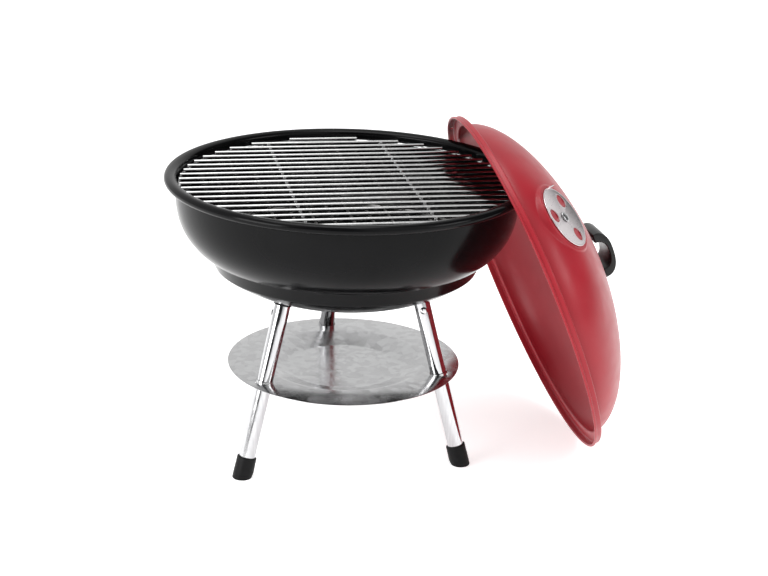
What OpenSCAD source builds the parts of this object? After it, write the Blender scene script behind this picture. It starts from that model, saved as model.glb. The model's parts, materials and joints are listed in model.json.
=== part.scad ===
// Small kettle charcoal grill on three splayed legs, with its domed lid leaning against the bowl.
// +Z is up, the floor is z = 0, +X is the way the lid leans, and the origin is on the floor below
// the middle of the whole object. The bowl's upright axis stands at x = grill_x.

/* [Bowl] */
// Outer radius of the bowl's rolled rim
rim_r = 179; // [149:1:215]
// Height of the rim's top above the floor
rim_top = 290.5; // [242:0.5:349]
// Width of the rolled rim, measured along the radius
rim_w = 10; // [8.5:0.5:12]
// Height of the rolled rim
rim_h = 9; // [7:0.5:11]
// Thickness of the bowl's sheet steel
bowl_wall = 1.2; // [1:0.1:1.5]
// Depth of the whole bowl below the rim's top
bowl_depth = 119; // [105:1:135]
// Depth of the ledge that carries the coal grate
ledge_depth = 78; // [70:1:84]
// How far the ledge's outer edge lies inside the upright wall
ledge_inset = 28; // [22:1:34]
// Width of the ledge
ledge_w = 4; // [3.5:0.1:5]
// Height of the steep band between the ledge and the dished bottom
band_h = 14; // [11:0.5:17]
// How far the steep band runs in towards its foot
band_w = 5.8; // [4.5:0.1:7]
// Radius of the flat middle of the bowl's floor
floor_flat_r = 50; // [46:1:56]

/* [Bowl damper] */
// Radius of each air hole in the bowl's floor
air_hole_r = 9; // [7:0.5:10]
// Radius of the circle on which the floor's air holes lie
air_hole_pitch = 24; // [22:0.5:26]
// Radius of the damper plate under the bowl
bowl_damper_r = 40; // [38:0.5:44]

/* [Legs] */
// Distance of each leg's upper end from the bowl's axis
leg_top_r = 79.5; // [74:0.5:84]
// Lean of the legs away from upright, in degrees
leg_splay = 15.8; // [12:0.1:18]
// Outer radius of the leg tube
leg_r = 8; // [6.6:0.1:9.6]
// Wall of the leg tube
leg_wall = 1.2; // [1:0.1:1.5]
// Outer radius of the rubber foot
foot_r = 9.9; // [9.5:0.1:11]
// Length of the rubber foot along the leg
foot_len = 21; // [18:0.5:26]

/* [Ash plate] */
// Height of the ash plate's flange above the floor
plate_z = 94; // [85:0.1:112]
// Flange width outside the leg centres
plate_margin = 16.2; // [13:0.1:20]
// Flange width inside the leg centres
plate_land = 20; // [16:0.5:24]
// Width of the sloping side of the plate's well
well_slope_w = 25; // [20:0.5:30]
// Depth of the plate's well
well_depth = 8; // [5:0.5:12]
// Thickness of the plate's sheet
plate_t = 0.8; // [0.6:0.1:1.2]

/* [Grates] */
// Gap between the cooking grate and the bowl's wall
grate_gap = 1; // [0.8:0.1:3]
// Depth of the cooking grate's ring below the rim's top
grate_depth = 11; // [10.5:0.5:18]
// Distance between neighbouring rods of the cooking grate
rod_pitch = 16; // [13:0.5:20]
// Radius of the rods
rod_r = 1.5; // [1.25:0.05:1.75]
// Radius of the ring and cross wires
ring_r = 2; // [1.8:0.05:2.3]
// Turn of the rods away from the lid's leaning direction, in degrees
rod_turn = -1; // [-30:1:30]
// Distance between neighbouring rods of the coal grate
coal_pitch = 20; // [16:0.5:24]

/* [Lid] */
// Clearance between the bowl's rim and the inside of the lid's skirt
skirt_gap = 0.8; // [0.6:0.1:1.5]
// Thickness of the lid's sheet steel
lid_wall = 1; // [0.8:0.1:1.4]
// Radius of the curled edge
curl_r = 1.3; // [1.1:0.1:1.6]
// Height of the skirt up to the outside of the brim
skirt_h = 8; // [7:0.5:11]
// Width of the flat brim, from the skirt's inside to the dome
brim_w = 9.8; // [8.1:0.1:11.8]
// Height of the dome above the brim
dome_h = 74; // [61:0.1:89]
// Fullness of the dome's outline, where 1 is an ellipse
dome_full = 1.08; // [0.98:0.01:1.12]
// Lean of the lid's axis above the horizontal, in degrees
lid_tilt = 22; // [16:0.1:26]
// Radius of the hanging hole in the skirt
hang_hole_r = 1.8; // [1.2:0.1:2]
// Gap left between the leaning lid and the bowl's rim
lean_gap = 0.6; // [0.4:0.1:1.5]

/* [Lid damper] */
// Distance of the damper's centre in from the foot of the dome
vent_inset = 30.8; // [30:0.1:38]
// Direction of the damper from the lid's axis, in degrees
vent_turn = -131.2; // [-150:0.1:-110]
// Radius of the flat seat under the damper
seat_r = 35; // [34.5:0.5:37]
// Radius of the damper plate
vent_disc_r = 32; // [30:0.5:33.5]
// Radius of the damper's air holes
vent_hole_r = 7; // [6:0.5:8]
// Radius of the circle on which the damper's air holes lie
vent_hole_pitch = 21; // [20:0.5:22]
// Thickness of both damper plates
damper_t = 1; // [0.8:0.1:1.2]

/* [Handle] */
// Length of the handle over its feet
handle_len = 50; // [46:1:60]
// Rise of the handle's arch above its feet
handle_rise = 16.5; // [14:0.5:20]
// Width of the handle's strap
handle_w = 38; // [32:0.5:45]
// Height of the spacers under the handle's feet
spacer_h = 3; // [2.5:0.5:5]

/* [Hidden] */
$fn = 96;

eps = 0.01;                 // a cut's overrun past the face it opens
slip = 0.05;                // radial clearance where one part slides on another
weld = 0.3;                 // how far crossing wires sink into each other at a weld
grate_lift = 0.3;           // gap between a grate's ring and the face it lies on
drill_len = 20;             // a drill's reach to each side of the sheet it goes through
outline_steps = 24;         // points along each curved outline

// Bowl outline, as depths below the rim's top
rim_set_out = 0.7;          // gap from the upright wall to the inner edge of the rolled rim
wall_r = rim_r - rim_w - rim_set_out;
wall_start = rim_h + 1;     // depth at which the curved side begins
crease_h = 1;               // height of the crease between the side and the ledge
ledge_r = wall_r - ledge_inset;
dish_r = ledge_r - ledge_w;
band_r = dish_r - band_w;   // radius at which the dished bottom begins
dish_drop = bowl_depth - ledge_depth - band_h;
dish_arc_r = (pow(band_r - floor_flat_r, 2) + pow(dish_drop, 2)) / (2 * dish_drop);
dish_arc_end = asin((band_r - floor_flat_r) / dish_arc_r);
side_power = 3;
side_end = ledge_depth - crease_h;
side_depth = (side_end - wall_start) / pow(1 - pow(ledge_r / wall_r, 2), 1 / side_power);
roll_r = rim_r - rim_w / 2; // radius of the rolled rim's centre line
bowl_floor_z = rim_top - bowl_depth;

// Radius of the bowl's side at a depth below the rim's top
function side_r(depth) =
    wall_r * sqrt(1 - pow(max(0, depth - wall_start) / side_depth, side_power));

// Radius of the bowl's inside at a depth above the ledge
function inside_r(depth) = side_r(depth) - bowl_wall;

// Legs
leg_azimuths = [209.7, 329.7, 89.7];
leg_top_gap = 1.5;          // from the leg's upper end up to the level of the bowl's floor
leg_top_z = bowl_floor_z - leg_top_gap;
leg_len = leg_top_z / cos(leg_splay);
leg_floor_r = leg_top_r + leg_top_z * tan(leg_splay);
leg_in_r = leg_r - leg_wall;
spigot_len = 22;            // length of the socket's spigot inside the leg
socket_h = 20;              // height of the socket's cone, up into the bowl's dish
socket_lip = 0.8;           // how far the socket's lower edge stands out past the leg
socket_flare = 8;           // how far the socket's upper edge stands out past the leg
foot_sole = 4;              // rubber below the tube's end
screw_drop = 10;            // from the leg's top to its screw
screw_turn = -68;           // turn of the leg screw away from the outward direction
screw_r = 2;
screw_head_r = 3.6;
screw_head_h = 2;
screw_dome_r = 4.5;         // radius of a leg screw's round head

// Ash plate
hole_circle_r = leg_top_r + (leg_top_z - plate_z) * tan(leg_splay);
plate_r = hole_circle_r + plate_margin;
well_r = hole_circle_r - plate_land;
well_floor_r = well_r - well_slope_w;
collar_t = 0.8;             // wall of the turned-up lip around each leg hole
collar_h = 2.5;

// Cooking grate, which tips about a chord near the leaning lid
grate_ring_r = inside_r(grate_depth) - grate_gap - ring_r;
grate_z = rim_top - grate_depth;
rod_z = grate_z + ring_r + rod_r - weld;
cross_share = 0.367;        // place of the cross wires, as a share of the ring's radius
rest_azimuths = [70, 180, 290];
rest_w = 12;
rest_t = 1.2;
rest_reach = 12;            // how far a rest's shelf stands in from the wall
rest_h = 14;
rest_top_z = grate_z - ring_r - grate_lift;
rest_r = inside_r(rim_top - rest_top_z + rest_h);

// Coal grate, lying on the bowl's ledge
coal_ring_gap = 0.8;        // gap between the coal grate's ring and the bowl's wall
coal_ring_r = ledge_r - bowl_wall - ring_r - coal_ring_gap;
ledge_lean = atan(crease_h / ledge_w);
coal_ring_z = rim_top - ledge_depth + bowl_wall + (coal_ring_r - dish_r + bowl_wall)
    * tan(ledge_lean) + (ring_r + grate_lift) / cos(ledge_lean);
coal_rod_z = coal_ring_z + ring_r + rod_r - weld;

// Bowl damper
damper_gap = 0.3;
rivet_r = 2.5;
rivet_head_r = 5.5;
rivet_bevel = 2;            // how far the rivet's head narrows towards its face
rivet_head_h = 1.6;
bowl_damper_tab_len = 14;
bowl_damper_tab_w = 12;
bowl_damper_tab_drop = 8;
bowl_damper_open = 60;      // turn from the closed to the open air holes

// Lid outline, with its free edge at height 0
skirt_in_r = rim_r + skirt_gap;
skirt_r = skirt_in_r + lid_wall;
dome_r = skirt_in_r - brim_w;
curl_centre_r = skirt_in_r + curl_r;
hang_hole_turn = 144;       // direction of the hanging hole from the lid's axis
apex_h = skirt_h + dome_h;

// Point of the dome's outline at angle t from the brim to the top, a distance t_in inside it
function dome_point(t, t_in) = [
    (dome_r - t_in) * pow(cos(t), dome_full),
    skirt_h + (dome_h - t_in) * pow(sin(t), dome_full)
];
// Angle t at which the dome's outline has a given radius
function dome_angle(r) = acos(pow(r / dome_r, 1 / dome_full));
// Fall of the dome at angle t, as height over radius
function dome_slope(t) = (dome_h / dome_r) * pow(cos(t) / sin(t), 2 - dome_full);

// Leaning lid: its curled edge stands on the floor, and the inner corner of its brim keeps
// lean_gap from the rim. The lid's axis meets the bowl's axis at pivot_z, and corner and rim
// lie on spheres about that point, so the lid can swing over the bowl without touching it.
tilt_s = sin(lid_tilt);
tilt_c = cos(lid_tilt);
edge_z = curl_centre_r * tilt_c - curl_r * tilt_s + curl_r;  // height of the leaning edge's centre
roll_reach = norm([rim_w, rim_h]) / (2 * sqrt(2)) + lean_gap;
rim_far_r = roll_r + roll_reach * sin(45);
rim_far_z = rim_top - rim_h / 2 + roll_reach * cos(45);
corner_r = dome_r - lid_wall;
corner_h = skirt_h - lid_wall;
rise = rim_far_z - edge_z;
half_b = corner_h - rise * tilt_s;
rest_term = pow(corner_h, 2) + pow(corner_r, 2) - pow(rise, 2) - pow(rim_far_r, 2);
lid_reach = (sqrt(pow(half_b, 2) - pow(tilt_c, 2) * rest_term) - half_b) / pow(tilt_c, 2);
pivot_z = edge_z - lid_reach * tilt_s;
lid_swing = 90 - lid_tilt;

// Lid damper
vent_r = dome_r - vent_inset;
vent_t = dome_angle(vent_r);
vent_fall = atan(dome_slope(vent_t));
seat_sink = 1.5;            // how far the flat seat lies below the dome at its centre
seat_wall_h = 14;
vent_disc_turn = 3;         // direction of the disc's first air hole
vent_open = 60;             // turn from the closed to the open air holes
vent_tab_turn = -73;
vent_tab_w = 9;
vent_tab_h = 7;

// Handle
handle_foot_w = 10;
foot_x = handle_len / 2 - handle_foot_w / 2;
handle_z = dome_point(dome_angle(foot_x), 0)[1] + spacer_h;
spacer_r = 5;
spacer_dip = 0.6;           // how far the spacer reaches below the dome's height at its centre
strap_t = 5;
handle_screw_r = 2;
handle_screw_depth = 9;
handle_screw_spare = 0.5;   // depth of the screw's hole beyond its tip
handle_screw_drop = 1.2;    // from the dome's inside down to the screw's head

// Point of the handle's arch at angle t, for an arch of half length a and rise b
function arch_point(t, a, b) =
    [a * sign(cos(t)) * pow(abs(cos(t)), 0.8), b * pow(sin(t), 0.8)];

// How far a point of the lid's outline stands out along +X when the lid leans
function lean_x(r, h) = lid_reach * tilt_c + h * tilt_c + r * tilt_s;
dome_x = max([for (i = [0:outline_steps])
    let (p = dome_point(90 * i / outline_steps, 0)) lean_x(p[0], p[1])]);
handle_x = max([for (i = [0:outline_steps])
    let (p = arch_point(180 * i / outline_steps, handle_len / 2, handle_rise))
    lean_x(p[0], handle_z + p[1])]);
lid_far_x = max(dome_x, handle_x);
grill_x = (rim_r - lid_far_x) / 2;

black_enamel = "#1c1c1e";
red_enamel = "#b52a33";
steel = "#b8b8ba";
chrome = "#d6d6da";
rubber = "#151515";

module at_grill() {
    translate([grill_x, 0, 0]) children();
}

module along_leg(azimuth) {
    at_grill() rotate([0, 0, azimuth]) translate([leg_floor_r, 0, 0]) rotate([0, -leg_splay, 0])
        children();
}

module in_lid() {
    translate([grill_x + lid_reach * tilt_c, 0, edge_z]) rotate([0, 90 - lid_tilt, 0]) children();
}

module at_vent() {
    rotate([0, 0, vent_turn])
        translate([vent_r, 0, dome_point(vent_t, 0)[1]])
            rotate([0, vent_fall, 0]) children();
}

// Solid inside one face of the bowl's sheet: inset 0 is its outside, inset bowl_wall its inside
module bowl_body(inset) {
    side = [for (i = [0:outline_steps])
        let (depth = wall_start + (side_end - wall_start) * i / outline_steps)
        [side_r(depth) - inset, rim_top - depth + inset * i / outline_steps]];
    dish = [for (i = [0:outline_steps])
        let (a = dish_arc_end * (1 - i / outline_steps))
        [floor_flat_r + (dish_arc_r - inset) * sin(a),
            bowl_floor_z + dish_arc_r - (dish_arc_r - inset) * cos(a)]];
    rotate_extrude()
        polygon(concat([[0, rim_top], [wall_r - inset, rim_top]], side,
            [[dish_r - inset, rim_top - ledge_depth + inset]], dish, [[0, bowl_floor_z + inset]]));
}

module air_holes(count_turn, radius, pitch) {
    for (i = [0:2])
        rotate([0, 0, count_turn + 120 * i]) translate([pitch, 0, -drill_len])
            cylinder(r = radius, h = 2 * drill_len);
}

module bowl() {
    color(black_enamel) at_grill() difference() {
        union() {
            bowl_body(0);
            rotate_extrude() translate([roll_r, rim_top - rim_h / 2])
                polygon([for (i = [0:2 * outline_steps - 1])
                    let (a = 180 * i / outline_steps) [rim_w / 2 * cos(a), rim_h / 2 * sin(a)]]);
            translate([0, 0, rim_top - rim_h]) cylinder(r = roll_r, h = rim_h / 2);
        }
        bowl_body(bowl_wall);
        translate([0, 0, rim_top - rim_h]) cylinder(r = wall_r - bowl_wall, h = 2 * rim_h);
        translate([0, 0, bowl_floor_z]) air_holes(60, air_hole_r, air_hole_pitch);
        translate([0, 0, bowl_floor_z - eps]) cylinder(r = rivet_r, h = bowl_wall + 2 * eps);
    }
}

module bowl_damper() {
    tab_end = bowl_damper_r + bowl_damper_tab_len;
    color(steel) at_grill() translate([0, 0, bowl_floor_z - damper_gap - damper_t]) difference() {
        union() {
            cylinder(r = bowl_damper_r, h = damper_t);
            translate([0, -bowl_damper_tab_w / 2, 0])
                cube([tab_end, bowl_damper_tab_w, damper_t]);
            translate([tab_end - damper_t, -bowl_damper_tab_w / 2, -bowl_damper_tab_drop])
                cube([damper_t, bowl_damper_tab_w, bowl_damper_tab_drop + damper_t]);
        }
        air_holes(0, air_hole_r, air_hole_pitch);
        translate([0, 0, -eps]) cylinder(r = rivet_r + slip, h = damper_t + 2 * eps);
    }
}

module bowl_damper_rivet() {
    shank_h = bowl_wall + damper_gap * 2 + damper_t;
    color(steel) at_grill() {
        translate([0, 0, bowl_floor_z + bowl_wall - shank_h]) cylinder(r = rivet_r, h = shank_h);
        translate([0, 0, bowl_floor_z + bowl_wall]) rivet_head();
        translate([0, 0, bowl_floor_z + bowl_wall - shank_h]) rotate([180, 0, 0]) rivet_head();
    }
}

module rivet_head() {
    cylinder(r1 = rivet_head_r, r2 = rivet_head_r - rivet_bevel, h = rivet_head_h);
}

module leg_screw_hole(radius) {
    translate([0, 0, leg_len - screw_drop]) rotate([0, 0, screw_turn]) rotate([0, 90, 0])
        cylinder(r = radius, h = 2 * leg_r);
}

module leg_socket(azimuth) {
    color(black_enamel) difference() {
        along_leg(azimuth) difference() {
            union() {
                translate([0, 0, leg_len])
                    cylinder(r1 = leg_r + socket_lip, r2 = leg_r + socket_flare, h = socket_h);
                translate([0, 0, leg_len - spigot_len])
                    cylinder(r = leg_in_r - slip, h = spigot_len + eps);
            }
            leg_screw_hole(screw_r);
        }
        at_grill() bowl_body(0);
    }
}

module leg(azimuth) {
    color(chrome) along_leg(azimuth) difference() {
        translate([0, 0, foot_sole]) cylinder(r = leg_r, h = leg_len - foot_sole);
        translate([0, 0, foot_sole - eps]) cylinder(r = leg_in_r, h = leg_len);
        leg_screw_hole(screw_r);
    }
}

module leg_screws() {
    color(chrome) for (azimuth = leg_azimuths) along_leg(azimuth)
        translate([0, 0, leg_len - screw_drop]) rotate([0, 0, screw_turn]) rotate([0, 90, 0]) {
            cylinder(r = screw_r, h = leg_r + screw_head_h / 2);
            translate([0, 0, leg_r]) intersection() {
                cylinder(r = screw_head_r, h = screw_head_h);
                translate([0, 0, screw_head_h - screw_dome_r]) sphere(r = screw_dome_r);
            }
        }
}

module foot(azimuth) {
    color(rubber) intersection() {
        along_leg(azimuth) difference() {
            translate([0, 0, -foot_sole]) cylinder(r = foot_r, h = foot_sole + foot_len);
            translate([0, 0, foot_sole]) cylinder(r = leg_r + slip, h = foot_len);
        }
        translate([-2 * rim_r, -2 * rim_r, 0]) cube([4 * rim_r, 4 * rim_r, 2 * foot_len]);
    }
}

module ash_plate() {
    color(steel) difference() {
        union() {
            at_grill() translate([0, 0, plate_z]) rotate_extrude()
                polygon([[0, -well_depth], [well_floor_r, -well_depth], [well_r, 0],
                    [plate_r, 0], [plate_r, -plate_t], [well_r + plate_t / 2, -plate_t],
                    [well_floor_r + plate_t / 2, -well_depth - plate_t],
                    [0, -well_depth - plate_t]]);
            at_grill() for (azimuth = leg_azimuths)
                rotate([0, 0, azimuth]) translate([hole_circle_r, 0, plate_z - plate_t])
                    rotate([0, -leg_splay, 0]) cylinder(r = leg_r + slip + collar_t, h = collar_h);
        }
        for (azimuth = leg_azimuths) along_leg(azimuth) cylinder(r = leg_r + slip, h = leg_len);
    }
}

module grate_rests() {
    color(steel) at_grill() for (azimuth = rest_azimuths) rotate([0, 0, azimuth]) intersection() {
        cylinder(r = rest_r, h = rim_top, $fn = 360);
        union() {
            translate([rest_r - rest_reach, -rest_w / 2, rest_top_z - rest_t])
                cube([2 * rest_reach, rest_w, rest_t]);
            translate([rest_r - 2 * rest_t, -rest_w / 2, rest_top_z - rest_h])
                cube([rest_reach, rest_w, rest_h]);
        }
    }
}

module wire_ring(radius, height) {
    rotate_extrude() translate([radius, height]) circle(r = ring_r, $fn = 24);
}

// Parallel wires that end on a ring's centre line
module chord_wires(positions, ring, height, radius) {
    for (y = positions) let (half = sqrt(pow(ring, 2) - pow(y, 2)))
        translate([-half, y, height]) rotate([0, 90, 0])
            cylinder(r = radius, h = 2 * half, $fn = 24);
}

module cooking_grate_ring() {
    color(chrome) at_grill() wire_ring(grate_ring_r, grate_z);
}

module cooking_grate_cross_wires() {
    cross_y = cross_share * grate_ring_r;
    color(chrome) at_grill() rotate([0, 0, rod_turn + 90])
        chord_wires([-cross_y, cross_y], grate_ring_r, grate_z, ring_r);
}

module cooking_grate_rods() {
    reach = floor((grate_ring_r - 2 * ring_r) / rod_pitch);
    color(chrome) at_grill() rotate([0, 0, rod_turn])
        chord_wires([for (i = [-reach:reach]) i * rod_pitch], grate_ring_r, rod_z, rod_r);
}

module coal_grate_ring() {
    color(steel) at_grill() wire_ring(coal_ring_r, coal_ring_z);
}

module coal_grate_cross_wires() {
    cross_y = cross_share * coal_ring_r;
    color(steel) at_grill() chord_wires([-cross_y, cross_y], coal_ring_r, coal_ring_z, ring_r);
}

module coal_grate_rods() {
    reach = floor((coal_ring_r - 2 * ring_r) / coal_pitch);
    color(steel) at_grill() rotate([0, 0, 90])
        chord_wires([for (i = [-reach:reach]) i * coal_pitch], coal_ring_r, coal_rod_z, rod_r);
}

// Solid under one face of the dome: inset 0 is its outside, inset lid_wall its inside
module dome_body(inset) {
    rotate_extrude()
        polygon(concat([[0, skirt_h - inset], [dome_r - inset, skirt_h - inset]],
            [for (i = [0:outline_steps]) dome_point(90 * i / outline_steps, inset)]));
}

module lid_shell() {
    color(red_enamel) in_lid() difference() {
        union() {
            difference() {
                dome_body(0);
                at_vent() translate([0, 0, -seat_sink]) cylinder(r = seat_r, h = drill_len);
            }
            translate([0, 0, corner_h]) cylinder(r = skirt_r, h = lid_wall);
            translate([0, 0, curl_r]) cylinder(r = skirt_r, h = corner_h);
            rotate_extrude() translate([curl_centre_r, curl_r]) circle(r = curl_r, $fn = 24);
            difference() {
                at_vent() translate([0, 0, -seat_wall_h])
                    cylinder(r = seat_r, h = seat_wall_h - seat_sink);
                dome_body(lid_wall);
            }
        }
        difference() {
            dome_body(lid_wall);
            at_vent() translate([0, 0, -seat_sink - lid_wall]) cylinder(r = seat_r, h = lid_wall);
        }
        at_vent() translate([0, 0, -seat_wall_h - drill_len])
            cylinder(r = seat_r - lid_wall, h = seat_wall_h + drill_len - seat_sink - lid_wall);
        translate([0, 0, -eps]) cylinder(r = skirt_in_r, h = corner_h + eps);
        at_vent() air_holes(vent_disc_turn + vent_open, vent_hole_r, vent_hole_pitch);
        at_vent() translate([0, 0, -drill_len]) cylinder(r = rivet_r, h = 2 * drill_len);
        handle_screw_places() translate([0, 0, -drill_len])
            cylinder(r = handle_screw_r, h = 2 * drill_len);
        rotate([0, 0, hang_hole_turn])
            translate([skirt_in_r - drill_len / 2, 0, curl_r + corner_h / 2])
                rotate([0, 90, 0]) cylinder(r = hang_hole_r, h = drill_len);
    }
}

module lid_damper() {
    color(steel) in_lid() at_vent() translate([0, 0, damper_gap - seat_sink]) difference() {
        union() {
            cylinder(r = vent_disc_r, h = damper_t);
            rotate([0, 0, vent_tab_turn])
                translate([vent_disc_r - 1.5 * damper_t, -vent_tab_w / 2, 0])
                    cube([damper_t, vent_tab_w, vent_tab_h]);
        }
        air_holes(vent_disc_turn, vent_hole_r, vent_hole_pitch);
        translate([0, 0, -eps]) cylinder(r = rivet_r + slip, h = damper_t + 2 * eps);
    }
}

module lid_damper_rivet() {
    shank_h = lid_wall + damper_gap * 2 + damper_t;
    color(chrome) in_lid() at_vent() translate([0, 0, -seat_sink - lid_wall]) {
        cylinder(r = rivet_r, h = shank_h);
        translate([0, 0, shank_h]) rivet_head();
        rotate([180, 0, 0]) rivet_head();
    }
}

module handle_screw_places() {
    for (x = [-foot_x, foot_x]) translate([x, 0, handle_z - spacer_h]) children();
}

module handle() {
    outer = [for (i = [0:outline_steps])
        arch_point(180 * i / outline_steps, handle_len / 2, handle_rise)];
    inner = [for (i = [outline_steps:-1:0])
        arch_point(180 * i / outline_steps, handle_len / 2 - handle_foot_w, handle_rise - strap_t)];
    color(rubber) in_lid() difference() {
        translate([0, handle_w / 2, handle_z]) rotate([90, 0, 0])
            linear_extrude(height = handle_w) polygon(concat(outer, inner));
        handle_screw_places() cylinder(r = handle_screw_r, h = spacer_h + handle_screw_depth);
    }
}

module handle_spacers() {
    color(chrome) in_lid() difference() {
        handle_screw_places() translate([0, 0, -spacer_dip])
            cylinder(r = spacer_r, h = spacer_h + spacer_dip);
        handle_screw_places() translate([0, 0, -drill_len])
            cylinder(r = handle_screw_r, h = 2 * drill_len);
        dome_body(0);
    }
}

module handle_screws() {
    head_z = -lid_wall - handle_screw_drop;
    shank_h = spacer_h + handle_screw_depth - handle_screw_spare - head_z;
    color(chrome) in_lid() handle_screw_places() {
        translate([0, 0, head_z]) cylinder(r = handle_screw_r, h = shank_h);
        translate([0, 0, head_z - screw_head_h]) cylinder(r = screw_head_r, h = screw_head_h);
    }
}

bowl();
bowl_damper();
bowl_damper_rivet();
leg_socket(leg_azimuths[0]);  // leg_socket_1
leg_socket(leg_azimuths[1]);  // leg_socket_2
leg_socket(leg_azimuths[2]);  // leg_socket_3
leg(leg_azimuths[0]);  // leg_1
leg(leg_azimuths[1]);  // leg_2
leg(leg_azimuths[2]);  // leg_3
leg_screws();
foot(leg_azimuths[0]);  // foot_1
foot(leg_azimuths[1]);  // foot_2
foot(leg_azimuths[2]);  // foot_3
ash_plate();
grate_rests();
cooking_grate_ring();
cooking_grate_cross_wires();
cooking_grate_rods();
coal_grate_ring();
coal_grate_cross_wires();
coal_grate_rods();
lid_shell();
lid_damper();
lid_damper_rivet();
handle();
handle_spacers();
handle_screws();
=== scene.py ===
import json
import math
import bmesh
import bpy
from mathutils import Matrix, Quaternion, Vector


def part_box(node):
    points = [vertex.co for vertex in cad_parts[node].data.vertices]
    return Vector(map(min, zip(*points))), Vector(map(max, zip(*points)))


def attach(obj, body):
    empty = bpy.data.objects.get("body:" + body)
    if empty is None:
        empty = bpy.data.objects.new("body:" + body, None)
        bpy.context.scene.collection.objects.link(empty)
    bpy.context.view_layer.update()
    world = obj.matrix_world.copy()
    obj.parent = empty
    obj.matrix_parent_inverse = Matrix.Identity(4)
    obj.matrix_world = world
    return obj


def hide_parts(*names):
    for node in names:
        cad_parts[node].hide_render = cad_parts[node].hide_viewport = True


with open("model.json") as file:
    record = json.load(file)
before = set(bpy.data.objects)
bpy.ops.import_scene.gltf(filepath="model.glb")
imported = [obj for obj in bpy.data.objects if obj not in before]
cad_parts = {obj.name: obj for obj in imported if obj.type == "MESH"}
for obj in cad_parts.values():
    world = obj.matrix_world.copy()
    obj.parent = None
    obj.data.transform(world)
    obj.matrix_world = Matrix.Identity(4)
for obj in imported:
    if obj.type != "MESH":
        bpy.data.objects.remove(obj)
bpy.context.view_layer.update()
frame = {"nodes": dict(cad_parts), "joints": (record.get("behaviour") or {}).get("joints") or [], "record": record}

# ---------------------------------------------------------------- studio
# A pale floor that runs out of sight, a bright room and three soft lights. The camera stands a
# little left of the front, looks down on the bowl and is rolled a touch.
camera_aim = Vector((-0.0102, 0, 0.1687))
camera_distance = 1.6603
camera_turn = math.radians(-12.39)
camera_drop = math.radians(19.59)
camera_roll = math.radians(1.92)
back = Vector((
    math.sin(camera_turn) * math.cos(camera_drop),
    -math.cos(camera_turn) * math.cos(camera_drop),
    math.sin(camera_drop),
))
camera = bpy.data.objects.new("camera", bpy.data.cameras.new("camera"))
camera.data.lens = 77.28
camera.data.sensor_width = 36.0
camera.location = camera_aim + back * camera_distance
camera.rotation_euler = ((-back).to_track_quat("-Z", "Y") @ Quaternion((0, 0, 1), camera_roll)).to_euler()
bpy.context.scene.collection.objects.link(camera)
bpy.context.scene.camera = camera
bpy.context.scene.view_settings.view_transform = "Standard"


def soft_light(name, place, size, power):
    """A square softbox that faces the middle of the grill."""
    light = bpy.data.objects.new(name, bpy.data.lights.new(name, "AREA"))
    light.data.shape = "SQUARE"
    light.data.size = size
    light.data.energy = power
    light.location = place
    light.rotation_euler = (Vector(place) - camera_aim).to_track_quat("Z", "Y").to_euler()
    bpy.context.scene.collection.objects.link(light)


soft_light("softbox_top", (-0.3, 0.1, 1.9), 1.1, 14)
soft_light("softbox_left", (-1.6, -0.8, 0.6), 0.9, 16)
soft_light("softbox_right", (1.6, -1.1, 1.2), 0.8, 9)

# The room is white. Only mirror reflections see its two dark walls, which draw the dark streaks in
# polished metal.
room = bpy.data.worlds.new("room")
room.use_nodes = True
bpy.context.scene.world = room
room_nodes = room.node_tree.nodes
room_links = room.node_tree.links
room_direction = room_nodes.new("ShaderNodeTexCoord")
room_axes = room_nodes.new("ShaderNodeSeparateXYZ")
room_turn = room_nodes.new("ShaderNodeMath")
room_turn.operation = "ARCTAN2"
room_share = room_nodes.new("ShaderNodeMapRange")
room_share.inputs["From Min"].default_value = -math.pi
room_share.inputs["From Max"].default_value = math.pi
room_walls = room_nodes.new("ShaderNodeValToRGB")
room_links.new(room_direction.outputs["Generated"], room_axes.inputs[0])
room_links.new(room_axes.outputs["Y"], room_turn.inputs[0])
room_links.new(room_axes.outputs["X"], room_turn.inputs[1])
room_links.new(room_turn.outputs[0], room_share.inputs["Value"])
room_links.new(room_share.outputs["Result"], room_walls.inputs["Fac"])
white = (1.0, 1.0, 1.0, 1.0)
dark = (0.03, 0.03, 0.032, 1.0)
wall_stops = [(0.00, white), (0.11, white), (0.14, dark), (0.24, dark), (0.27, white),
              (0.42, white), (0.45, dark), (0.58, dark), (0.61, white), (1.00, white)]
while len(room_walls.color_ramp.elements) < len(wall_stops):
    room_walls.color_ramp.elements.new(0.5)
for stop, (share, shade) in zip(room_walls.color_ramp.elements, wall_stops):
    stop.position = share
    stop.color = shade
room_links.new(room_walls.outputs["Color"], room_nodes["Background"].inputs["Color"])
room_nodes["Background"].inputs["Strength"].default_value = 0.9
room_light = room_nodes.new("ShaderNodeBackground")
room_light.inputs["Strength"].default_value = 1.0
room_rays = room_nodes.new("ShaderNodeLightPath")
room_choice = room_nodes.new("ShaderNodeMixShader")
room_links.new(room_rays.outputs["Is Glossy Ray"], room_choice.inputs["Fac"])
room_links.new(room_light.outputs[0], room_choice.inputs[1])
room_links.new(room_nodes["Background"].outputs[0], room_choice.inputs[2])
room_links.new(room_choice.outputs[0], room_nodes["World Output"].inputs["Surface"])

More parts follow.
